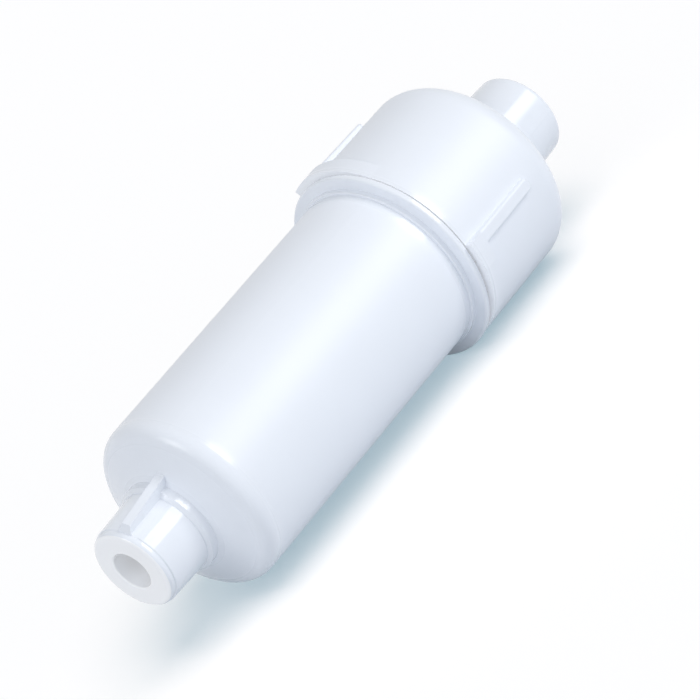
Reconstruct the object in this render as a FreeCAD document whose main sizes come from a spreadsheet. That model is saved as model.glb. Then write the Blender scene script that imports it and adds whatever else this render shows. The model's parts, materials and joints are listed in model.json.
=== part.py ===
import FreeCAD, Part
import os
import re

import Sketcher

os.makedirs("parts", exist_ok=True)
doc = FreeCAD.newDocument("inline_filter")
sheet = doc.addObject("Spreadsheet::Sheet", "Sizes")

# Millimetres and degrees. Heights run along the filter's axis from the inlet lip to the outlet tip.
SIZES = [
    # Shared by the whole filter
    ("body_radius", "25"),
    ("body_wall", "3.4"),
    ("port_bore_radius", "5.4"),
    ("throat_radius", "4.4"),
    ("throat_length", "2.5"),
    ("mouth_round", "0.4"),
    ("slide_gap", "0.3"),
    ("snug_gap", "0.1"),
    ("seat_gap", "0.1"),
    ("bowl_angle", "27.4"),
    ("cap_angle", "90.5"),

    # Inlet nozzle and closed end of the bowl
    ("lip_radius", "11.4"),
    ("lip_length", "1.7"),
    ("lip_round", "1.2"),
    ("nozzle_step", "0.3"),
    ("nozzle_taper", "0.4"),
    ("nozzle_length", "17.2"),
    ("collar_step", "1.1"),
    ("collar_length", "3"),
    ("collar_slope", "0.8"),
    ("shoulder_rise", "5.3"),
    ("shoulder_round", "4.5"),
    ("body_length", "89"),
    ("barrel_radius", "=lip_radius + nozzle_step"),
    ("barrel_foot", "=barrel_radius + nozzle_taper"),
    ("collar_radius", "=barrel_foot + collar_step"),
    ("collar_start", "=nozzle_length - collar_length"),
    ("end_slope", "=shoulder_rise / (body_radius - collar_radius)"),
    ("end_wall", "=body_wall / cos(atan(end_slope))"),
    ("shoulder_height", "=nozzle_length + shoulder_rise"),
    ("bowl_bore", "=body_radius - body_wall"),

    # Two ribs along the nozzle
    ("fin_near_height", "1.7"),
    ("fin_near_slant", "1.2"),
    ("fin_rise", "2.5"),
    ("fin_top_width", "2.4"),
    ("fin_foot_width", "3.7"),
    ("fin_root", "0.8"),
    ("fin_far_height", "=nozzle_length + fin_root + end_slope"
                       " * (barrel_radius + fin_near_height + fin_rise - collar_radius)"),

    # Screen pocket in the closed end
    ("screen_radius", "10"),
    ("screen_thickness", "0.8"),
    ("frame_thickness", "1.2"),
    ("frame_band", "2.2"),
    ("frame_bar", "1.6"),
    ("wire_spacing", "2.6"),
    ("wire_opening", "1.6"),
    ("pocket_depth", "1.8"),
    ("pocket_radius", "=screen_radius + snug_gap"),
    ("pocket_top", "=nozzle_length - (collar_radius - pocket_radius) * end_slope + end_wall"),
    ("inlet_land", "=pocket_top - pocket_depth"),
    ("inlet_bore_end", "=inlet_land - throat_length"),
    ("inner_corner", "=pocket_top + (bowl_bore - pocket_radius) * end_slope"),

    # Flange under the cap
    ("ring_step", "0.7"),
    ("ring_height", "1.5"),
    ("ring_round", "0.3"),
    ("flange_step", "3.1"),
    ("flange_slope", "0.2"),
    ("flange_edge", "1.9"),
    ("flange_round", "0.6"),
    ("flange_gap", "0.2"),
    ("flange_height", "=shoulder_height + body_length"),
    ("ring_radius", "=body_radius + ring_step"),
    ("flange_radius", "=ring_radius + flange_step"),
    ("flange_low", "=flange_height + ring_height + flange_slope"),
    ("flange_top", "=flange_low + flange_edge"),

    # Screwed neck of the bowl
    ("neck_step", "0.8"),
    ("neck_length", "28.6"),
    ("rim_chamfer", "0.6"),
    ("thread_pitch", "4"),
    ("thread_turns", "2.5"),
    ("thread_depth", "1.3"),
    ("thread_foot", "2.5"),
    ("thread_crest", "1"),
    ("thread_root", "0.4"),
    ("thread_lead", "3"),
    ("neck_radius", "=body_radius - neck_step"),
    ("rim_height", "=flange_top + neck_length"),
    ("thread_start", "=flange_top + thread_lead"),
    ("crest_radius", "=neck_radius + thread_depth"),
    ("cap_root", "=crest_radius + slide_gap"),
    ("seal_bore", "=neck_radius + slide_gap"),
    ("cap_thread_start", "=thread_start + thread_pitch * (0.5 + (cap_angle - bowl_angle) / 360)"),
    ("bore_step", "=cap_thread_start + thread_pitch * (thread_turns - 0.5) + thread_foot"),
    ("cap_turns", "=thread_turns - 0.5"),

    # Rubber ring on the neck
    ("seal_cord", "1.6"),
    ("seal_play", "0.03"),
    ("groove_spare", "0.6"),
    ("seal_below_rim", "5"),
    ("seal_radius", "=seal_bore - seal_play - seal_cord / 2"),
    ("seal_groove", "=seal_radius - seal_play - seal_cord / 2"),
    ("seal_height", "=rim_height - seal_below_rim"),
    ("groove_half", "=(seal_cord + groove_spare) / 2"),

    # Washer between rim and cap
    ("washer_thickness", "1"),
    ("washer_inset", "0.2"),
    ("cap_ledge", "=rim_height + washer_thickness + seat_gap"),

    # Cap, outside
    ("cap_step", "3.6"),
    ("cap_draft", "0.3"),
    ("cap_wall_length", "38.7"),
    ("cap_round", "7.2"),
    ("cap_rise", "2.7"),
    ("port_radius", "13.15"),
    ("port_draft", "0.75"),
    ("port_length", "19.5"),
    ("port_round", "1.8"),
    ("cap_start", "=flange_top + flange_gap"),
    ("cap_foot", "=body_radius + cap_step"),
    ("cap_shoulder", "=cap_start + cap_wall_length"),
    ("port_start", "=cap_shoulder + cap_rise"),
    ("overall_length", "=port_start + port_length"),

    # Grip band and ribs
    ("band_height", "4.7"),
    ("band_step", "2.1"),
    ("grip_width", "3.6"),
    ("grip_length", "22.4"),
    ("grip_set_back", "0.4"),
    ("grip_fall", "0.9"),
    ("grip_end_round", "1.5"),
    ("grip_edge_round", "0.7"),
    ("band_crest", "12"),
    ("band_sweep", "67"),
    ("band_sink", "0.6"),
    ("band_full", "=cap_foot + band_step"),
    ("band_foot", "=cap_foot - band_sink"),
    ("band_top", "=cap_start + band_height"),
    ("grip_half", "=grip_width / 2"),
    ("grip_root", "=cap_foot - cap_draft - 0.8"),

    # Cap, inside
    ("ledge_width", "1.4"),
    ("roof_wall", "2"),
    ("roof_corner", "4"),
    ("boss_wall", "3.1"),
    ("boss_drop", "9.3"),
    ("outlet_floor_rise", "2.7"),
    ("spigot_radius", "8.8"),
    ("inner_radius", "=neck_radius - ledge_width"),
    ("roof_height", "=cap_shoulder - roof_wall"),
    ("roof_slope", "=cap_rise / (cap_foot - cap_draft - port_radius)"),
    ("socket_radius", "=spigot_radius + slide_gap"),
    ("boss_radius", "=socket_radius + boss_wall"),
    ("boss_end", "=roof_height - boss_drop"),
    ("roof_at_boss", "=roof_height + (inner_radius - roof_corner - boss_radius) * roof_slope"),
    ("outlet_floor", "=roof_height + outlet_floor_rise"),
    ("outlet_bore_start", "=outlet_floor + throat_length"),
    ("outlet_screen_radius", "=socket_radius - snug_gap"),

    # Spring and its seat
    ("spring_radius", "9.2"),
    ("spring_wire", "1.3"),
    ("spring_turns", "4"),
    ("spring_height", "18"),
    ("coil_gap", "0.1"),
    ("seat_thickness", "1.4"),
    ("seat_bore", "7"),
    ("seat_collar", "1"),
    ("seat_collar_height", "2.4"),
    ("locator_height", "2.5"),
    ("locator_wall", "1.6"),
    ("fin_count", "6"),
    ("fin_thickness", "1.6"),
    ("fin_gap", "0.4"),
    ("seat_bottom", "=inlet_land + screen_thickness + frame_thickness"),
    ("seat_top", "=seat_bottom + seat_thickness"),
    ("spring_inner", "=spring_radius - spring_wire / 2"),
    ("collar_outer", "=seat_bore + seat_collar"),
    ("locator_radius", "=spring_inner - snug_gap - slide_gap"),
    ("spring_start", "=seat_top + spring_wire / 2"),
    ("end_pitch", "=spring_wire + coil_gap"),
    ("live_start", "=spring_start + end_pitch"),
    ("live_length", "=spring_height - spring_wire - 2 * end_pitch"),
    ("live_end", "=live_start + live_length"),

    # Cartridge, between the spring and the outlet
    ("spigot_length", "13.4"),
    ("spigot_bore", "5.5"),
    ("end_cap_floor", "3"),
    ("bond_thickness", "2"),
    ("end_cap_wall", "1.4"),
    ("end_cap_grip", "3.5"),
    ("spigot_end", "=outlet_floor - screen_thickness - frame_thickness - seat_gap"),
    ("spigot_foot", "=spigot_end - spigot_length"),
    ("upper_bond_top", "=spigot_foot - end_cap_floor"),
    ("cage_top", "=upper_bond_top - bond_thickness"),
    ("cartridge_bottom", "=seat_top + spring_height"),
    ("lower_bond_bottom", "=cartridge_bottom + end_cap_floor"),
    ("cage_bottom", "=lower_bond_bottom + bond_thickness"),
    ("cage_length", "=cage_top - cage_bottom"),

    # Rubber rings on the spigot
    ("spigot_cord", "1.8"),
    ("upper_ring_set_back", "3.4"),
    ("ring_spacing", "4"),
    ("spigot_ring_radius", "=socket_radius - seal_play - spigot_cord / 2"),
    ("spigot_groove", "=spigot_ring_radius - seal_play - spigot_cord / 2"),
    ("spigot_groove_half", "=(spigot_cord + groove_spare) / 2"),
    ("upper_ring_height", "=spigot_end - upper_ring_set_back"),
    ("lower_ring_height", "=upper_ring_height - ring_spacing"),

    # Cage, media and core
    ("flow_gap", "3.1"),
    ("cage_wall", "0.9"),
    ("window_border", "4"),
    ("window_bar", "3"),
    ("window_width", "10"),
    ("cage_columns", "8"),
    ("wrap_thickness", "0.3"),
    ("pleat_count", "24"),
    ("pleat_fold", "3"),
    ("core_radius", "7.4"),
    ("core_wall", "1.5"),
    ("core_wrap_thickness", "0.4"),
    ("slot_width", "3.4"),
    ("slot_border", "6"),
    ("slot_bar", "4"),
    ("core_columns", "6"),
    ("cage_radius", "=bowl_bore - flow_gap"),
    ("end_cap_outer", "=cage_radius + snug_gap + end_cap_wall"),
    ("cage_inner", "=cage_radius - cage_wall"),
    ("window_length", "=(cage_length - 2 * window_border - 3 * window_bar) / 4"),
    ("wrap_outer", "=cage_inner - snug_gap"),
    ("wrap_inner", "=wrap_outer - wrap_thickness"),
    ("media_outer", "=wrap_inner - snug_gap"),
    ("core_inner", "=core_radius - core_wall"),
    ("core_wrap_inner", "=core_radius + snug_gap"),
    ("core_wrap_outer", "=core_wrap_inner + core_wrap_thickness"),
    ("media_inner", "=core_wrap_outer + snug_gap"),
    ("slot_length", "=(cage_length - 2 * slot_border - 4 * slot_bar) / 5"),
    ("half_pleat", "=180 / pleat_count"),
]
for row, (name, value) in enumerate(SIZES, 1):
    sheet.set("A%d" % row, name)
    sheet.set("B%d" % row, value)
    sheet.setAlias("B%d" % row, name)
doc.recompute()
NAMES = {name for name, value in SIZES}


def tied(formula):
    """A size formula with every name in it pointing at the sheet."""
    return re.sub(r"[a-z_]+", lambda word: "Sizes." + word[0] if word[0] in NAMES else word[0], formula)


def number(formula):
    return float(sheet.evalExpression(tied(formula)))


def origin_part(body, role):
    return next(part for part in body.Origin.OriginFeatures if part.Role == role)


def new_sketch(body, name, role, lift="0"):
    """A sketch on one of the body's own planes, lifted off it by a formula."""
    sketch = body.newObject("Sketcher::SketchObject", name)
    sketch.AttachmentSupport = [(origin_part(body, role), "")]
    sketch.MapMode = "FlatFace"
    if lift != "0":
        sketch.setExpression(".AttachmentOffset.Base.z", tied(lift))
    return sketch


def hold(sketch, line, end, across, up):
    """Tie one end of a line to two size formulas."""
    for kind, axis, formula in (("DistanceX", -2, across), ("DistanceY", -1, up)):
        if formula == "0":
            sketch.addConstraint(Sketcher.Constraint("PointOnObject", line, end, axis))
            continue
        place = sketch.addConstraint(Sketcher.Constraint(kind, -1, 1, line, end, number(formula)))
        sketch.setExpression("Constraints[%d]" % place, tied(formula))


def outline(sketch, corners):
    """A closed outline of straight lines through corners given as formulas."""
    spots = [FreeCAD.Vector(number(across), number(up), 0) for across, up in corners]
    first = sketch.GeometryCount
    count = len(corners)
    for place, spot in enumerate(spots):
        sketch.addGeometry(Part.LineSegment(spot, spots[(place + 1) % count]))
    for place, (across, up) in enumerate(corners):
        following = first + (place + 1) % count
        sketch.addConstraint(Sketcher.Constraint("Coincident", first + place, 2, following, 1))
        hold(sketch, first + place, 1, across, up)


def box_outline(sketch, left, right, low, high):
    outline(sketch, [(left, low), (right, low), (right, high), (left, high)])


def turned(body, name, corners, kind="PartDesign::Revolution"):
    """Turn a half section about the filter's axis."""
    sketch = new_sketch(body, name + "_section", "XZ_Plane")
    outline(sketch, corners)
    feature = body.newObject(kind, name)
    feature.Profile = sketch
    feature.ReferenceAxis = (sketch, ["V_Axis"])
    feature.Angle = 360
    return feature


def pulled(body, name, sketch, length, kind="PartDesign::Pad", both_ways=False, back=False):
    """Pad or pocket a sketch by a formula."""
    doc.recompute()
    feature = body.newObject(kind, name)
    feature.Profile = sketch
    feature.SideType = "Symmetric" if both_ways else "One side"
    feature.Reversed = back
    feature.setExpression("Length", tied(length))
    return feature


def around(body, name, feature, count):
    """Repeat a feature round the filter's axis."""
    pattern = body.newObject("PartDesign::PolarPattern", name)
    pattern.Originals = [feature]
    pattern.Axis = (origin_part(body, "Z_Axis"), [""])
    pattern.Angle = 360
    if count in NAMES:
        pattern.setExpression("Occurrences", tied(count))
    else:
        pattern.Occurrences = int(count)
    body.Tip = pattern
    return pattern


def dressed(body, kind, name, size, chosen):
    """Fillet or chamfer the chosen edges of the body as it stands."""
    doc.recompute()
    base = body.Tip
    edges = ["Edge%d" % (place + 1) for place, edge in enumerate(base.Shape.Edges) if chosen(edge)]
    feature = body.newObject("PartDesign::" + kind, name)
    feature.Base = (base, edges)
    feature.setExpression("Radius" if kind == "Fillet" else "Size", tied(size))
    return feature


def on_ring(*spots):
    """Chooses the full circles through spots given as formulas for radius and height."""
    rings = [(number(radius), number(height)) for radius, height in spots]

    def chosen(edge):
        spot = edge.Vertexes[0].Point
        radius = (spot.x ** 2 + spot.y ** 2) ** 0.5
        round_edge = edge.isClosed() and len(edge.Vertexes) == 1
        return round_edge and any(abs(radius - r) + abs(spot.z - z) < 0.01 for r, z in rings)
    return chosen


def screw(body, name, start, turns, foot_radius, crest_radius, root):
    """A right-hand thread ridge from a trapezoid section on the foot radius."""
    sketch = new_sketch(body, name + "_section", "XZ_Plane")
    half_foot = "thread_foot / 2"
    half_crest = "thread_crest / 2"
    outline(sketch, [
        (root, start + " - " + half_foot),
        (foot_radius, start + " - " + half_foot),
        (crest_radius, start + " - " + half_crest),
        (crest_radius, start + " + " + half_crest),
        (foot_radius, start + " + " + half_foot),
        (root, start + " + " + half_foot)])
    ridge = body.newObject("PartDesign::AdditiveHelix", name)
    ridge.Profile = sketch
    ridge.ReferenceAxis = (sketch, ["V_Axis"])
    ridge.Mode = "pitch-turns-angle"
    ridge.setExpression("Pitch", tied("thread_pitch"))
    ridge.setExpression("Turns", tied(turns))
    return ridge


def new_body(name):
    body = doc.addObject("PartDesign::Body", name)
    body.Label = name
    return body


def tube(name, inner, outer, low, high):
    body = new_body(name)
    turned(body, name + "_tube", [(inner, low), (outer, low), (outer, high), (inner, high)])
    return body


def cord_ring(name, radius, cord):
    ring = doc.addObject("Part::Torus", name)
    ring.Label = name
    ring.setExpression("Radius1", tied(radius))
    ring.setExpression("Radius2", tied(cord + " / 2"))
    return ring


def make_bowl():
    """Inlet nozzle, barrel, flange and screwed neck, moulded as one piece."""
    body = new_body("bowl")
    turned(body, "bowl_shell", [
        ("port_bore_radius", "0"),
        ("lip_radius", "0"),
        ("lip_radius", "lip_length"),
        ("barrel_radius", "lip_length + nozzle_step"),
        ("barrel_foot", "collar_start"),
        ("barrel_foot + collar_slope / 4", "collar_start"),
        ("collar_radius", "collar_start + collar_slope"),
        ("collar_radius", "nozzle_length"),
        ("body_radius", "shoulder_height"),
        ("body_radius", "flange_height"),
        ("ring_radius", "flange_height"),
        ("ring_radius", "flange_height + ring_height"),
        ("flange_radius", "flange_low"),
        ("flange_radius", "flange_top"),
        ("neck_radius", "flange_top"),
        ("neck_radius", "seal_height - groove_half"),
        ("seal_groove", "seal_height - groove_half"),
        ("seal_groove", "seal_height + groove_half"),
        ("neck_radius", "seal_height + groove_half"),
        ("neck_radius", "rim_height - rim_chamfer"),
        ("neck_radius - rim_chamfer", "rim_height"),
        ("bowl_bore", "rim_height"),
        ("bowl_bore", "inner_corner"),
        ("pocket_radius", "pocket_top"),
        ("pocket_radius", "inlet_land"),
        ("throat_radius", "inlet_land"),
        ("throat_radius", "inlet_bore_end"),
        ("port_bore_radius", "inlet_bore_end")])
    dressed(body, "Fillet", "shoulder_fillet", "shoulder_round",
            on_ring(("body_radius", "shoulder_height"), ("bowl_bore", "inner_corner")))
    dressed(body, "Fillet", "lip_fillet", "lip_round", on_ring(("lip_radius", "0")))
    dressed(body, "Fillet", "mouth_fillet", "mouth_round", on_ring(("port_bore_radius", "0")))
    dressed(body, "Fillet", "ring_fillet", "ring_round", on_ring(("ring_radius", "flange_height")))
    dressed(body, "Fillet", "flange_fillet", "flange_round",
            on_ring(("flange_radius", "flange_low"), ("flange_radius", "flange_top")))
    add_nozzle_fins(body)
    screw(body, "bowl_thread", "thread_start", "thread_turns", "neck_radius", "crest_radius",
          "neck_radius - thread_root")
    return body


def add_nozzle_fins(body):
    """Two drafted ribs that climb from the lip to the closed end."""
    near = "lip_length + fin_near_slant"
    top = "barrel_radius + fin_near_height"
    sections = [
        ("fin_tip", "lip_length", "barrel_radius - fin_root / 4", "fin_foot_width / 2"),
        ("fin_near", near, top, "fin_top_width / 2"),
        ("fin_far", "fin_far_height", top + " + fin_rise", "fin_top_width / 2")]
    drawn = []
    for name, height, outer, half_top in sections:
        sketch = new_sketch(body, name, "XY_Plane", height)
        inner = "barrel_radius - fin_root"
        outline(sketch, [
            (inner, "-fin_foot_width / 2"), (outer, "-" + half_top),
            (outer, half_top), (inner, "fin_foot_width / 2")])
        drawn.append(sketch)
    doc.recompute()
    fin = body.newObject("PartDesign::AdditiveLoft", "nozzle_fin")
    fin.Profile = drawn[0]
    fin.Sections = drawn[1:]
    fin.Ruled = True
    around(body, "nozzle_fins", fin, "2")


def band_corner(radius, sector):
    """The corner of the grip band where the side of a rib cuts a radius."""
    turn = "(%d)" % (120 * sector)
    return ("%s * cos%s + grip_half * sin%s" % (radius, turn, turn),
            "%s * sin%s - grip_half * cos%s" % (radius, turn, turn))


def band_spot(radius, sector, sweep):
    """A point of the grip band at a radius and an angle past a rib."""
    turn = "(%d + %s)" % (120 * sector, sweep)
    return "%s * cos%s" % (radius, turn), "%s * sin%s" % (radius, turn)


def band_arc(sketch, start, stop, radius):
    """An outward arc from one spot to another, with its start and its radius tied to the sizes."""
    first, last = [FreeCAD.Vector(number(across), number(up), 0) for across, up in (start, stop)]
    bend = number(radius)
    half = (last - first) / 2
    inward = FreeCAD.Vector(-half.y, half.x, 0).normalize()
    centre = first + half + inward * (bend ** 2 - half.Length ** 2) ** 0.5
    arc = sketch.addGeometry(Part.Arc(first, centre - inward * bend, last))
    hold(sketch, arc, 1, *start)
    place = sketch.addConstraint(Sketcher.Constraint("Radius", arc, bend))
    sketch.setExpression("Constraints[%d]" % place, tied(radius))


def add_band(body):
    """Three teeth: each has a step beside a rib and falls into the cap's wall before the next rib."""
    sketch = new_sketch(body, "band_outline", "XY_Plane", "cap_start")
    for sector in range(3):
        crest = band_corner("band_full", sector)
        bend = band_spot("band_full", sector, "band_crest")
        sunk = band_spot("band_foot", sector, "band_sweep")
        low = band_corner("band_foot", sector + 1)
        high = band_corner("band_full", sector + 1)
        band_arc(sketch, crest, bend, "band_full")
        band_arc(sketch, bend, sunk, "cap_foot")
        band_arc(sketch, sunk, low, "band_foot")
        ends = [FreeCAD.Vector(number(across), number(up), 0) for across, up in (low, high)]
        step = sketch.addGeometry(Part.LineSegment(*ends))
        hold(sketch, step, 1, *low)
    count = sketch.GeometryCount
    for piece in range(count):
        sketch.addConstraint(Sketcher.Constraint("Coincident", piece, 2, (piece + 1) % count, 1))
    pulled(body, "grip_band", sketch, "band_height")


def add_grip_ribs(body):
    sketch = new_sketch(body, "grip_section", "XZ_Plane")
    outline(sketch, [
        ("grip_root", "band_top"),
        ("band_full - grip_set_back", "band_top"),
        ("band_full - grip_fall", "band_top + grip_length"),
        ("grip_root", "band_top + grip_length")])
    rib = pulled(body, "grip_rib", sketch, "grip_width", both_ways=True)
    around(body, "grip_ribs", rib, "3")
    half = number("grip_half")
    far = number("band_top + grip_length")
    low = number("band_top")
    face = number("band_full - grip_fall")

    def beside(edge):
        """Every sampled point of the edge, seen from the nearest rib."""
        start, stop = edge.ParameterRange
        seen = []
        for share in (0.05, 0.5, 0.95):
            spot = edge.valueAt(start + (stop - start) * share)
            nearest = max(range(3), key=lambda sector: rib_view(spot, sector).x)
            seen.append(rib_view(spot, nearest))
        return seen

    def end_corner(edge):
        seen = beside(edge)
        at_end = all(abs(spot.z - far) < 0.01 for spot in seen)
        return at_end and all(abs(abs(spot.y) - half) < 0.01 for spot in seen)

    def top_edge(edge):
        seen = beside(edge)
        outer = all(spot.x > face - 0.01 and abs(spot.y) < half + 0.01 for spot in seen)
        return outer and all(spot.z > low + 0.1 for spot in seen)
    dressed(body, "Fillet", "grip_end_fillet", "grip_end_round", end_corner)
    dressed(body, "Fillet", "grip_edge_fillet", "grip_edge_round", top_edge)


def rib_view(spot, sector):
    turn = FreeCAD.Rotation(FreeCAD.Vector(0, 0, 1), -120 * sector)
    return turn.multVec(spot)


def make_cap():
    """Screw cap with the grip band, the outlet port and the cartridge socket."""
    body = new_body("cap")
    add_band(body)
    turned(body, "cap_shell", [
        ("0", "cap_start"),
        ("cap_foot", "cap_start"),
        ("cap_foot - cap_draft", "cap_shoulder"),
        ("port_radius", "port_start"),
        ("port_radius - port_draft", "overall_length"),
        ("0", "overall_length")])
    dressed(body, "Fillet", "cap_fillet", "cap_round", on_ring(("cap_foot - cap_draft", "cap_shoulder")))
    dressed(body, "Fillet", "port_fillet", "port_round",
            on_ring(("port_radius - port_draft", "overall_length")))
    add_grip_ribs(body)
    turned(body, "cap_bore", [
        ("0", "cap_start"),
        ("cap_root", "cap_start"),
        ("cap_root", "bore_step"),
        ("seal_bore", "bore_step + thread_depth"),
        ("seal_bore", "cap_ledge"),
        ("inner_radius", "cap_ledge"),
        ("inner_radius", "roof_height - roof_corner"),
        ("inner_radius - roof_corner", "roof_height"),
        ("boss_radius", "roof_at_boss"),
        ("boss_radius", "boss_end"),
        ("socket_radius", "boss_end"),
        ("socket_radius", "outlet_floor"),
        ("throat_radius", "outlet_floor"),
        ("throat_radius", "outlet_bore_start"),
        ("port_bore_radius", "outlet_bore_start"),
        ("port_bore_radius", "overall_length"),
        ("0", "overall_length")], kind="PartDesign::Groove")
    dressed(body, "Fillet", "outlet_fillet", "mouth_round",
            on_ring(("port_bore_radius", "overall_length")))
    dressed(body, "Chamfer", "socket_chamfer", "mouth_round", on_ring(("socket_radius", "boss_end")))
    screw(body, "cap_thread", "cap_thread_start", "cap_turns", "cap_root", "seal_bore",
          "cap_root + thread_root")
    return body


def make_screen(name, radius, low):
    """A mesh disc of wires that cross, with slots cut half-way from each side."""
    body = new_body(name)
    turned(body, name + "_disc", [
        ("0", low), (radius, low), (radius, low + " + screen_thickness"), ("0", low + " + screen_thickness")])
    for side, height, back in (("lower", low, True), ("upper", low + " + screen_thickness", False)):
        for row in range(-2, 3):
            middle = "%d * wire_spacing" % row
            edge = "(abs(%s) + wire_opening / 2)" % middle
            reach = "(%s ^ 2 - %s ^ 2) ^ 0.5 - wire_spacing / 2" % (radius, edge)
            sketch = new_sketch(body, "%s_%s_slot_%d" % (name, side, row + 3), "XY_Plane", height)
            sides = (middle + " - wire_opening / 2", middle + " + wire_opening / 2")
            ends = ("-(%s)" % reach, reach)
            if side == "lower":
                box_outline(sketch, sides[0], sides[1], ends[0], ends[1])
            else:
                box_outline(sketch, ends[0], ends[1], sides[0], sides[1])
            pulled(body, "%s_%s_cut_%d" % (name, side, row + 3), sketch, "screen_thickness / 2",
                   kind="PartDesign::Pocket", back=back)
    return body


def make_screen_frame(name, radius, low):
    """A ring with a cross that keeps the mesh flat."""
    body = new_body(name)
    inner = radius + " - frame_band"
    high = low + " + frame_thickness"
    turned(body, name + "_ring", [(inner, low), (radius, low), (radius, high), (inner, high)])
    sketch = new_sketch(body, name + "_bar_outline", "XY_Plane", low)
    box_outline(sketch, "-frame_bar / 2", inner + " + frame_band / 2", "-frame_bar / 2", "frame_bar / 2")
    bar = pulled(body, name + "_bar", sketch, "frame_thickness")
    around(body, name + "_cross", bar, "4")
    return body


def make_spring():
    """A compression spring with a closed turn at each end."""
    body = new_body("cartridge_spring")
    sections = [
        ("lower_turn", "spring_start", "end_pitch", "1"),
        ("live_turns", "live_start", "live_length / spring_turns", "spring_turns"),
        ("upper_turn", "live_end", "end_pitch", "1")]
    for name, height, pitch, turns in sections:
        sketch = new_sketch(body, name + "_section", "XZ_Plane")
        centre = FreeCAD.Vector(number("spring_radius"), number(height), 0)
        circle = Part.Circle(centre, FreeCAD.Vector(0, 0, 1), number("spring_wire / 2"))
        sketch.addGeometry(circle)
        place = sketch.addConstraint(Sketcher.Constraint("Radius", 0, number("spring_wire / 2")))
        sketch.setExpression("Constraints[%d]" % place, tied("spring_wire / 2"))
        hold(sketch, 0, 3, "spring_radius", height)
        coil = body.newObject("PartDesign::AdditiveHelix", name)
        coil.Profile = sketch
        coil.ReferenceAxis = (sketch, ["V_Axis"])
        coil.Mode = "pitch-turns-angle"
        coil.setExpression("Pitch", tied(pitch))
        coil.setExpression("Turns", tied(turns))
        doc.recompute()
    return body


def make_closed_end_cap():
    """Cup that closes the cartridge, with fins that centre it in the bowl."""
    body = new_body("closed_end_cap")
    inner = "end_cap_outer - end_cap_wall"
    grip_top = "cage_bottom + end_cap_grip"
    turned(body, "closed_cup", [
        ("0", "cartridge_bottom"),
        ("locator_radius - locator_wall", "cartridge_bottom"),
        ("locator_radius - locator_wall", "cartridge_bottom - locator_height"),
        ("locator_radius", "cartridge_bottom - locator_height"),
        ("locator_radius", "cartridge_bottom"),
        ("end_cap_outer", "cartridge_bottom"),
        ("end_cap_outer", grip_top),
        (inner, grip_top),
        (inner, "lower_bond_bottom"),
        ("0", "lower_bond_bottom")])
    sketch = new_sketch(body, "centring_fin_section", "XZ_Plane")
    outline(sketch, [
        ("end_cap_outer - end_cap_wall / 2", "cartridge_bottom"),
        ("end_cap_outer", "cartridge_bottom"),
        ("bowl_bore - fin_gap", "cartridge_bottom + end_cap_floor"),
        ("bowl_bore - fin_gap", grip_top),
        ("end_cap_outer - end_cap_wall / 2", grip_top)])
    fin = pulled(body, "centring_fin", sketch, "fin_thickness", both_ways=True)
    around(body, "centring_fins", fin, "fin_count")
    return body


def make_open_end_cap():
    """Cup with the spigot that plugs into the cap."""
    body = new_body("open_end_cap")
    inner = "end_cap_outer - end_cap_wall"
    grip_bottom = "cage_top - end_cap_grip"
    corners = [
        ("spigot_bore", "upper_bond_top"),
        (inner, "upper_bond_top"),
        (inner, grip_bottom),
        ("end_cap_outer", grip_bottom),
        ("end_cap_outer", "spigot_foot"),
        ("spigot_radius", "spigot_foot")]
    for height in ("lower_ring_height", "upper_ring_height"):
        low = height + " - spigot_groove_half"
        high = height + " + spigot_groove_half"
        corners += [("spigot_radius", low), ("spigot_groove", low), ("spigot_groove", high), ("spigot_radius", high)]
    corners += [("spigot_radius", "spigot_end"), ("spigot_bore", "spigot_end")]
    turned(body, "open_cup", corners)
    dressed(body, "Chamfer", "spigot_chamfer", "mouth_round / 2", on_ring(("spigot_radius", "spigot_end")))
    return body


def make_windowed_tube(name, inner, outer, half_width, border, bar, length, rows, columns):
    """A tube with rows of windows cut through its wall."""
    body = tube(name, inner, outer, "cage_bottom", "cage_top")
    sketch = new_sketch(body, name + "_windows", "YZ_Plane")
    for row in range(rows):
        low = "cage_bottom + %s + %d * (%s + %s)" % (border, row, length, bar)
        box_outline(sketch, "-" + half_width, half_width, low, low + " + " + length)
    cut = pulled(body, name + "_window_column", sketch, outer + " + 1", kind="PartDesign::Pocket", back=True)
    around(body, name + "_window_columns", cut, columns)
    return body


def make_media():
    """Pleated paper: one fold, repeated round the core."""
    body = new_body("pleated_media")
    sketch = new_sketch(body, "pleat_outline", "XY_Plane", "cage_bottom")
    turn = "(half_pleat)"
    valley = "(media_inner + pleat_fold)"
    outline(sketch, [
        ("media_inner * cos%s" % turn, "-media_inner * sin%s" % turn),
        (valley + " * cos%s" % turn, "-%s * sin%s" % (valley, turn)),
        ("media_outer", "0"),
        (valley + " * cos%s" % turn, "%s * sin%s" % (valley, turn)),
        ("media_inner * cos%s" % turn, "media_inner * sin%s" % turn),
        ("media_outer - pleat_fold", "0")])
    pleat = pulled(body, "pleat", sketch, "cage_length")
    around(body, "pleats", pleat, "pleat_count")
    return body


bowl = make_bowl()
cap = make_cap()
HOUSED = {
    "bowl": bowl,
    "slip_washer": tube("slip_washer", "bowl_bore + washer_inset", "neck_radius - washer_inset",
                        "rim_height", "rim_height + washer_thickness"),
    "inlet_screen": make_screen("inlet_screen", "screen_radius", "inlet_land"),
    "inlet_screen_frame": make_screen_frame("inlet_screen_frame", "screen_radius",
                                            "inlet_land + screen_thickness"),
    "cartridge_spring": make_spring(),
}
seat = new_body("spring_seat")
turned(seat, "seat_washer", [
    ("seat_bore", "seat_bottom"),
    ("screen_radius", "seat_bottom"),
    ("screen_radius", "seat_top"),
    ("collar_outer", "seat_top"),
    ("collar_outer", "seat_top + seat_collar_height"),
    ("seat_bore", "seat_top + seat_collar_height")])
HOUSED["spring_seat"] = seat

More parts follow.
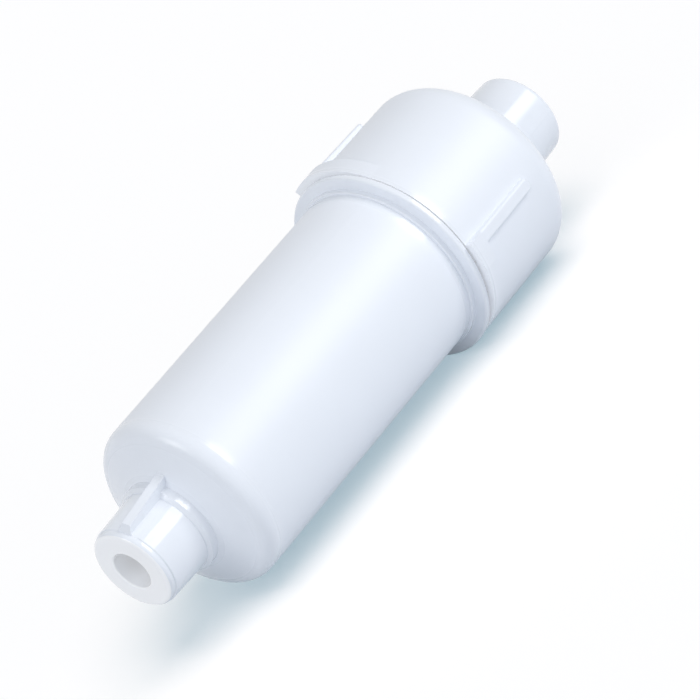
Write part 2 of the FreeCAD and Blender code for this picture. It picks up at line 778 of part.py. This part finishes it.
CAPPED = {
    "cap": cap,
    "outlet_screen": make_screen("outlet_screen", "outlet_screen_radius", "outlet_floor - screen_thickness"),
    "outlet_screen_frame": make_screen_frame("outlet_screen_frame", "outlet_screen_radius",
                                             "outlet_floor - screen_thickness - frame_thickness"),
}
CARTRIDGE = {
    "closed_end_cap": make_closed_end_cap(),
    "closed_end_bond": tube("closed_end_bond", "0", "cage_radius", "lower_bond_bottom", "cage_bottom"),
    "outer_cage": make_windowed_tube("outer_cage", "cage_inner", "cage_radius", "window_width / 2",
                                     "window_border", "window_bar", "window_length", 4, "cage_columns"),
    "pleat_wrap": tube("pleat_wrap", "wrap_inner", "wrap_outer", "cage_bottom", "cage_top"),
    "pleated_media": make_media(),
    "core_wrap": tube("core_wrap", "core_wrap_inner", "core_wrap_outer", "cage_bottom", "cage_top"),
    "core_tube": make_windowed_tube("core_tube", "core_inner", "core_radius", "slot_width / 2",
                                    "slot_border", "slot_bar", "slot_length", 5, "core_columns"),
    "open_end_bond": tube("open_end_bond", "core_inner", "cage_radius", "cage_top", "upper_bond_top"),
    "open_end_cap": make_open_end_cap(),
}
RINGS = {
    "body_o_ring": (cord_ring("body_o_ring", "seal_radius", "seal_cord"), "seal_height"),
    "lower_spigot_o_ring": (cord_ring("lower_spigot_o_ring", "spigot_ring_radius", "spigot_cord"),
                            "lower_ring_height"),
    "upper_spigot_o_ring": (cord_ring("upper_spigot_o_ring", "spigot_ring_radius", "spigot_cord"),
                            "upper_ring_height"),
}
doc.recompute()


def lying(angle):
    """Lays the filter's axis along X and turns it by an angle from straight up."""
    across = FreeCAD.Rotation(FreeCAD.Vector(0, 1, 0), 90)
    roll = FreeCAD.Rotation(FreeCAD.Vector(1, 0, 0), 180 + number(angle))
    return roll * across


start = number("-overall_length / 2")
widest = FreeCAD.BoundBox()
for part, angle in ((bowl, "bowl_angle"), (cap, "cap_angle")):
    part.Placement = FreeCAD.Placement(FreeCAD.Vector(start, 0, 0), lying(angle))
    widest.add(part.Shape.optimalBoundingBox(False))
rest = FreeCAD.Vector(start, -widest.Center.y, -widest.ZMin)

for part in HOUSED.values():
    part.Placement = FreeCAD.Placement(rest, lying("bowl_angle"))
for part in list(CAPPED.values()) + list(CARTRIDGE.values()):
    part.Placement = FreeCAD.Placement(rest, lying("cap_angle"))
for ring, height in RINGS.values():
    along = FreeCAD.Vector(number(height), 0, 0)
    ring.Placement = FreeCAD.Placement(rest + along, lying("cap_angle"))
doc.recompute()

solids = dict(HOUSED, **CAPPED, **CARTRIDGE)
solids.update((name, ring) for name, (ring, height) in RINGS.items())
for item in doc.Objects:
    if "Invalid" in item.State or "Error" in item.State:
        raise RuntimeError(item.Label + " didn't build")
for name, part in solids.items():
    shape = part.Shape
    if shape.isNull() or not shape.isValid() or len(shape.Solids) != 1:
        raise RuntimeError(name + " isn't one valid solid")
    shape.exportStep("parts/%s.step" % name)
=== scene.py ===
"""Looks, light and camera for the inline filter. Metres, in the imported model's frame."""
import json
import math

import bpy
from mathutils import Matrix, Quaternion, Vector

# Camera: where it stands round the filter, and how it is rolled to frame the filter corner to corner
CAMERA_AZIMUTH = -35.118
CAMERA_ELEVATION = 20.9513
CAMERA_ROLL = 35.7267
CAMERA_DISTANCE = 1.09041
CAMERA_AIM = (-0.00067, -0.00105, 0.02347)
CAMERA_LENS = 226.29
SENSOR_WIDTH = 36.0

# Light
WORLD_LEVEL = 0.2
WORLD_GAIN = 0.84
WORLD_TINT = (0.925, 0.955, 1.0)
BRIGHT_AZIMUTH = -38
BRIGHT_ELEVATION = 12
LAMP_DISTANCE = 2.6
KEY_AZIMUTH = 38.5
KEY_ELEVATION = 28.5
KEY_SIZE = (0.84, 1.3)
KEY_LEAN = 22
KEY_POWER = 28.0
SIDE_AZIMUTH = -95
SIDE_ELEVATION = 42
SIDE_SIZE = (1.0, 1.0)
SIDE_POWER = 11.0
BACK_AZIMUTH = 180
BACK_ELEVATION = 8
BACK_SIZE = (1.6, 0.7)
BACK_POWER = 13.0
BACKGROUND_WHITE = 1.0

# Floor, and the sun that lights it alone
FLOOR_COLOUR = (0.79, 0.65, 0.58)
FLOOR_LIFT = (0.267, 0.389, 0.453)
FLOOR_BOUNCE = (0.56, 0.585, 0.62)
SUN_POWER = 1.74
SUN_AZIMUTH = 8
SUN_ELEVATION = 66
SUN_SPREAD = 50
FLOOR_SPAN = 8.0
FLOOR_DROP = 0.00005

# The filter's own places: half its length, its axis, the joint under the cap and what a bore takes in
HALF_LENGTH = 0.0881
LENGTH_MM = 2000 * HALF_LENGTH
AXIS_Y = 0.000972
AXIS_Z = 0.0288
GAP_PLACE = 0.0271
BORE_RADIUS = 0.00555

# Plastic and the rest
WHITE_PLASTIC = (0.885, 0.92, 0.98)
# Painted light: where and how strongly a warm glow lightens the bores, the inlet's face and the joint
# under the cap
MOUTH_DEPTH = 0.0004
BORE_SHARE = 0.6
GAP_REACH = 0.00015
GAP_SHARE = 0.5
PAINTED_MOUTH_LIGHT = (0.125, 0.108, 0.08)
# Roughness at distances from the inlet lip, in millimetres
SHEEN = [(17, 0.13), (18, 0.3), (20.5, 0.3), (21.5, 0.24), (26, 0.24), (28, 0.44), (108, 0.44),
         (110.5, 0.15), (115.1, 0.15), (118, 0.44), (150, 0.44), (156, 0.15)]
MOTTLE_DETAIL = 3.0
MOTTLE_STOPS = (0.3, 0.7)
GRAINS_PER_MOTTLE = 4
BUMP_STRENGTH = 0.4
PLASTIC_IOR = 1.49
PLASTIC_ROUGHNESS = 0.3
PLASTIC_MOTTLE_SCALE = 60.0
PLASTIC_MOTTLE_SPREAD = 0.006
PLASTIC_GRAIN_SCALE = 900.0
PLASTIC_GRAIN_HEIGHT = 0.000003
RUBBER_BLACK = (0.018, 0.018, 0.02)
NYLON_CLEAR = (0.82, 0.82, 0.78)
STEEL_BRIGHT = (0.62, 0.63, 0.65)
STEEL_DULL = (0.5, 0.51, 0.53)
PLASTIC_NATURAL = (0.84, 0.84, 0.8)
PAPER_CREAM = (0.86, 0.83, 0.74)
FLEECE_WHITE = (0.82, 0.82, 0.82)
RESIN_CREAM = (0.78, 0.76, 0.68)


def around(azimuth, elevation):
    """Unit vector from the filter towards a place, by the angles that the camera uses."""
    turn = math.radians(azimuth)
    rise = math.radians(elevation)
    return Vector((math.cos(rise) * math.sin(turn), -math.cos(rise) * math.cos(turn), math.sin(rise)))


def add_camera():
    data = bpy.data.cameras.new("camera")
    data.lens = CAMERA_LENS
    data.sensor_width = SENSOR_WIDTH
    camera = bpy.data.objects.new("camera", data)
    bpy.context.scene.collection.objects.link(camera)
    towards = around(CAMERA_AZIMUTH, CAMERA_ELEVATION)
    roll = Quaternion((0, 0, 1), -math.radians(CAMERA_ROLL))
    camera.location = Vector(CAMERA_AIM) + towards * CAMERA_DISTANCE
    camera.rotation_mode = "QUATERNION"
    camera.rotation_quaternion = towards.to_track_quat("Z", "Y") @ roll
    bpy.context.scene.camera = camera


def add_softbox(name, towards, size, power, lean=0.0):
    """A rectangular lamp that faces the filter's middle and may lean to one side."""
    data = bpy.data.lights.new(name, "AREA")
    data.shape = "RECTANGLE"
    data.size, data.size_y = size
    data.energy = power
    lamp = bpy.data.objects.new(name, data)
    bpy.context.scene.collection.objects.link(lamp)
    lamp.location = Vector(CAMERA_AIM) + towards * LAMP_DISTANCE
    lamp.rotation_mode = "QUATERNION"
    lamp.rotation_quaternion = towards.to_track_quat("Z", "Y") @ Quaternion((0, 0, 1), -math.radians(lean))
    return lamp


def seen_ray(nodes, links):
    """1 for a ray that the eye, a reflection or a clear piece sees, and 0 for one that only lights."""
    path = nodes.new("ShaderNodeLightPath")
    total = path.outputs["Is Camera Ray"]
    for ray in ("Is Glossy Ray", "Is Transmission Ray"):
        step = nodes.new("ShaderNodeMath")
        step.operation = "MAXIMUM"
        links.new(total, step.inputs[0])
        links.new(path.outputs[ray], step.inputs[1])
        total = step.outputs[0]
    return total


def brighter_side(nodes, links):
    """The world's strength, which grows towards one side as it does with a window there."""
    place = nodes.new("ShaderNodeTexCoord")
    towards = nodes.new("ShaderNodeVectorMath")
    towards.operation = "DOT_PRODUCT"
    towards.inputs[1].default_value = around(BRIGHT_AZIMUTH, BRIGHT_ELEVATION)
    links.new(place.outputs["Generated"], towards.inputs[0])
    gain = nodes.new("ShaderNodeMapRange")
    gain.inputs["From Min"].default_value = 0.0
    gain.inputs["From Max"].default_value = 1.0
    gain.inputs["To Min"].default_value = WORLD_LEVEL
    gain.inputs["To Max"].default_value = WORLD_LEVEL + WORLD_GAIN
    links.new(towards.outputs["Value"], gain.inputs["Value"])
    return gain.outputs["Result"]


def set_world():
    world = bpy.data.worlds.new("studio")
    bpy.context.scene.world = world
    world.use_nodes = True
    nodes = world.node_tree.nodes
    links = world.node_tree.links
    nodes.clear()
    light = nodes.new("ShaderNodeBackground")
    light.inputs["Color"].default_value = (*WORLD_TINT, 1)
    links.new(brighter_side(nodes, links), light.inputs["Strength"])
    white = nodes.new("ShaderNodeBackground")
    white.inputs["Color"].default_value = (1, 1, 1, 1)
    white.inputs["Strength"].default_value = BACKGROUND_WHITE
    mix = nodes.new("ShaderNodeMixShader")
    out = nodes.new("ShaderNodeOutputWorld")
    links.new(seen_ray(nodes, links), mix.inputs["Fac"])
    links.new(light.outputs[0], mix.inputs[1])
    links.new(white.outputs[0], mix.inputs[2])
    links.new(mix.outputs[0], out.inputs["Surface"])


def add_floor():
    """A pale sheet under the filter that keeps its shadow."""
    half = FLOOR_SPAN / 2
    corners = [(-half, -half), (half, -half), (half, half), (-half, half)]
    mesh = bpy.data.meshes.new("floor")
    mesh.from_pydata([(x, y, -FLOOR_DROP) for x, y in corners], [], [(0, 1, 2, 3)])
    floor = bpy.data.objects.new("floor", mesh)
    bpy.context.scene.collection.objects.link(floor)
    material = bpy.data.materials.new("floor")
    material.use_nodes = True
    nodes = material.node_tree.nodes
    links = material.node_tree.links
    nodes.clear()
    diffuse = nodes.new("ShaderNodeBsdfDiffuse")
    glow = nodes.new("ShaderNodeEmission")
    glow.inputs["Color"].default_value = (*FLOOR_LIFT, 1)
    colour = nodes.new("ShaderNodeMix")
    colour.data_type = "RGBA"
    colour.inputs["A"].default_value = (*FLOOR_BOUNCE, 1)
    colour.inputs["B"].default_value = (*FLOOR_COLOUR, 1)
    seen = seen_ray(nodes, links)
    links.new(seen, colour.inputs["Factor"])
    links.new(colour.outputs["Result"], diffuse.inputs["Color"])
    links.new(seen, glow.inputs["Strength"])
    add = nodes.new("ShaderNodeAddShader")
    out = nodes.new("ShaderNodeOutputMaterial")
    links.new(diffuse.outputs[0], add.inputs[0])
    links.new(glow.outputs[0], add.inputs[1])
    links.new(add.outputs[0], out.inputs["Surface"])
    mesh.materials.append(material)
    return floor


def new_material(name, colour, roughness, metallic=0.0):
    material = bpy.data.materials.new(name)
    material.use_nodes = True
    shader = material.node_tree.nodes["Principled BSDF"]
    shader.inputs["Base Color"].default_value = (*colour, 1)
    shader.inputs["Roughness"].default_value = roughness
    shader.inputs["Metallic"].default_value = metallic
    return material, shader


def mottle(material, shader, colour, scale, spread):
    """Lets a noise vary the colour a little, so that the surface isn't one flat tone."""
    nodes = material.node_tree.nodes
    links = material.node_tree.links
    place = nodes.new("ShaderNodeTexCoord")
    noise = nodes.new("ShaderNodeTexNoise")
    noise.inputs["Scale"].default_value = scale
    noise.inputs["Detail"].default_value = MOTTLE_DETAIL
    ramp = nodes.new("ShaderNodeValToRGB")
    low = [channel * (1 - spread) for channel in colour]
    high = [min(1.0, channel * (1 + spread)) for channel in colour]
    for stop, place_on_ramp, tone in zip(ramp.color_ramp.elements, MOTTLE_STOPS, (low, high)):
        stop.position = place_on_ramp
        stop.color = (*tone, 1)
    links.new(place.outputs["Object"], noise.inputs["Vector"])
    links.new(noise.outputs["Fac"], ramp.inputs["Fac"])
    links.new(ramp.outputs["Color"], shader.inputs["Base Color"])


def ripple(material, shader, scale, height):
    """A fine bump, such as a mould's grain or a fibre."""
    nodes = material.node_tree.nodes
    links = material.node_tree.links
    place = nodes.new("ShaderNodeTexCoord")
    noise = nodes.new("ShaderNodeTexNoise")
    noise.inputs["Scale"].default_value = scale
    bump = nodes.new("ShaderNodeBump")
    bump.inputs["Strength"].default_value = BUMP_STRENGTH
    bump.inputs["Distance"].default_value = height
    links.new(place.outputs["Object"], noise.inputs["Vector"])
    links.new(noise.outputs["Fac"], bump.inputs["Height"])
    links.new(bump.outputs["Normal"], shader.inputs["Normal"])


def sheen(material, shader):
    """Lets the gloss change along the filter: polished ends and flange, duller bowl and cap walls."""
    nodes = material.node_tree.nodes
    links = material.node_tree.links
    place = nodes.new("ShaderNodeTexCoord")
    apart = nodes.new("ShaderNodeSeparateXYZ")
    along = nodes.new("ShaderNodeMapRange")
    along.inputs["From Min"].default_value = -HALF_LENGTH
    along.inputs["From Max"].default_value = HALF_LENGTH
    ramp = nodes.new("ShaderNodeValToRGB")
    stops = ramp.color_ramp.elements
    for _ in SHEEN[2:]:
        stops.new(1.0)
    for stop, (millimetres, roughness) in zip(stops, SHEEN):
        stop.position = millimetres / LENGTH_MM
        stop.color = (roughness, roughness, roughness, 1)
    links.new(place.outputs["Object"], apart.inputs[0])
    links.new(apart.outputs["X"], along.inputs["Value"])
    links.new(along.outputs["Result"], ramp.inputs["Fac"])
    links.new(ramp.outputs["Color"], shader.inputs["Roughness"])


def paint_light_at_mouths(material, shader):
    """Painted light: a faint glow emitted in the bores, on the inlet's face and in the joint, standing in
    for light through the pale wall and lightening the shade there.
    """
    nodes = material.node_tree.nodes
    links = material.node_tree.links
    place = nodes.new("ShaderNodeTexCoord")
    from_axis = nodes.new("ShaderNodeVectorMath")
    from_axis.operation = "SUBTRACT"
    from_axis.inputs[1].default_value = (0, AXIS_Y, AXIS_Z)
    across = nodes.new("ShaderNodeVectorMath")
    across.operation = "MULTIPLY"
    across.inputs[1].default_value = (0, 1, 1)
    radius = nodes.new("ShaderNodeVectorMath")
    radius.operation = "LENGTH"
    in_bore = nodes.new("ShaderNodeMath")
    in_bore.operation = "LESS_THAN"
    in_bore.inputs[1].default_value = BORE_RADIUS
    apart = nodes.new("ShaderNodeSeparateXYZ")
    on_face = nodes.new("ShaderNodeMath")
    on_face.operation = "LESS_THAN"
    on_face.inputs[1].default_value = MOUTH_DEPTH - HALF_LENGTH
    share = nodes.new("ShaderNodeMath")
    share.operation = "MULTIPLY"
    share.inputs[1].default_value = BORE_SHARE
    in_joint = nodes.new("ShaderNodeMath")
    in_joint.operation = "COMPARE"
    in_joint.inputs[1].default_value = GAP_PLACE
    in_joint.inputs[2].default_value = GAP_REACH
    joint_share = nodes.new("ShaderNodeMath")
    joint_share.operation = "MULTIPLY"
    joint_share.inputs[1].default_value = GAP_SHARE
    either = nodes.new("ShaderNodeMath")
    either.operation = "MAXIMUM"
    any_of_all = nodes.new("ShaderNodeMath")
    any_of_all.operation = "MAXIMUM"
    links.new(place.outputs["Object"], from_axis.inputs[0])
    links.new(from_axis.outputs["Vector"], across.inputs[0])
    links.new(across.outputs["Vector"], radius.inputs[0])
    links.new(radius.outputs["Value"], in_bore.inputs[0])
    links.new(place.outputs["Object"], apart.inputs[0])
    links.new(apart.outputs["X"], on_face.inputs[0])
    links.new(in_bore.outputs[0], share.inputs[0])
    links.new(share.outputs[0], either.inputs[0])
    links.new(on_face.outputs[0], either.inputs[1])
    links.new(apart.outputs["X"], in_joint.inputs[0])
    links.new(in_joint.outputs[0], joint_share.inputs[0])
    links.new(either.outputs[0], any_of_all.inputs[0])
    links.new(joint_share.outputs[0], any_of_all.inputs[1])
    links.new(any_of_all.outputs[0], shader.inputs["Emission Strength"])
    shader.inputs["Emission Color"].default_value = (*PAINTED_MOUTH_LIGHT, 1)


def white_plastic():
    """Glossy moulded polypropylene."""
    material, shader = new_material("white_polypropylene", WHITE_PLASTIC, PLASTIC_ROUGHNESS)
    sheen(material, shader)
    # Painted light: a glow in the bores, on the inlet's face and in the joint
    paint_light_at_mouths(material, shader)
    shader.inputs["IOR"].default_value = PLASTIC_IOR
    mottle(material, shader, WHITE_PLASTIC, PLASTIC_MOTTLE_SCALE, PLASTIC_MOTTLE_SPREAD)
    ripple(material, shader, PLASTIC_GRAIN_SCALE, PLASTIC_GRAIN_HEIGHT)
    return material


def plain(name, colour, roughness, metallic=0.0, grain=700.0, height=0.00002, spread=0.05):
    """A maker of one simple material with a fine grain."""

    def build():
        material, shader = new_material(name, colour, roughness, metallic)
        mottle(material, shader, colour, grain / GRAINS_PER_MOTTLE, spread)
        ripple(material, shader, grain, height)
        return material

    return build


MATERIALS = {
    "white_polypropylene": white_plastic,
    "black_rubber": plain("black_rubber", RUBBER_BLACK, roughness=0.55),
    "clear_nylon": plain("clear_nylon", NYLON_CLEAR, roughness=0.4),
    "spring_steel": plain("spring_steel", STEEL_BRIGHT, roughness=0.25, metallic=1.0, height=0.000008),
    "mesh_steel": plain("mesh_steel", STEEL_DULL, roughness=0.4, metallic=1.0, height=0.00001),
    "natural_polypropylene": plain("natural_polypropylene", PLASTIC_NATURAL, roughness=0.45),
    "pleated_paper": plain("pleated_paper", PAPER_CREAM, roughness=0.9, grain=1400.0, height=0.00008),
    "support_fleece": plain("support_fleece", FLEECE_WHITE, roughness=0.95, grain=1800.0, height=0.0001),
    "bonding_resin": plain("bonding_resin", RESIN_CREAM, roughness=0.35, grain=300.0),
}


def dress(frame):
    made = {slot: build() for slot, build in MATERIALS.items()}
    for part in frame["record"]["subparts"]:
        node = frame["nodes"][part["node"]]
        node.data.materials.clear()
        node.data.materials.append(made[part["material_slot"]])


def add_sun():
    """A soft light whose only work is to draw the filter's shadow on the floor."""
    data = bpy.data.lights.new("floor_sun", "SUN")
    data.energy = SUN_POWER
    data.angle = math.radians(SUN_SPREAD)
    sun = bpy.data.objects.new("floor_sun", data)
    bpy.context.scene.collection.objects.link(sun)
    sun.rotation_mode = "QUATERNION"
    sun.rotation_quaternion = around(SUN_AZIMUTH, SUN_ELEVATION).to_track_quat("Z", "Y")
    return sun


def link_light(lamp, floor, state):
    """Lets a lamp light the floor alone, or everything but the floor."""
    group = bpy.data.collections.new(lamp.name + "_reach")
    group.objects.link(floor)
    group.collection_objects[0].light_linking.link_state = state
    lamp.light_linking.receiver_collection = group


def light_studio(floor):
    set_world()
    # The long softbox that draws the stripe along the bowl and the cap
    key = add_softbox("key", around(KEY_AZIMUTH, KEY_ELEVATION), KEY_SIZE, KEY_POWER, KEY_LEAN)
    # The softbox that glints on the bowl's shoulder
    side = add_softbox("side", around(SIDE_AZIMUTH, SIDE_ELEVATION), SIDE_SIZE, SIDE_POWER)
    # The softbox behind, which keeps the filter's far side from going dark and shows in no gloss
    back = add_softbox("back", around(BACK_AZIMUTH, BACK_ELEVATION), BACK_SIZE, BACK_POWER)
    back.visible_glossy = False
    for lamp in (key, side, back):
        link_light(lamp, floor, "EXCLUDE")
    link_light(add_sun(), floor, "INCLUDE")


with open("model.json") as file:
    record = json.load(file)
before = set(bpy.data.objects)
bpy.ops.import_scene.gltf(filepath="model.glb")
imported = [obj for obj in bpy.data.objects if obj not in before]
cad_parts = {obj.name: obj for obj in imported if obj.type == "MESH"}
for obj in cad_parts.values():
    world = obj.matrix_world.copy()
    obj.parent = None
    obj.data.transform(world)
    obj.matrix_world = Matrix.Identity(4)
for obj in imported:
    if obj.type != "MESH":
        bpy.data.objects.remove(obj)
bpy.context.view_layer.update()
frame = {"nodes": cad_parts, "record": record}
dress(frame)
light_studio(add_floor())
add_camera()
bpy.context.scene.view_settings.view_transform = "Standard"
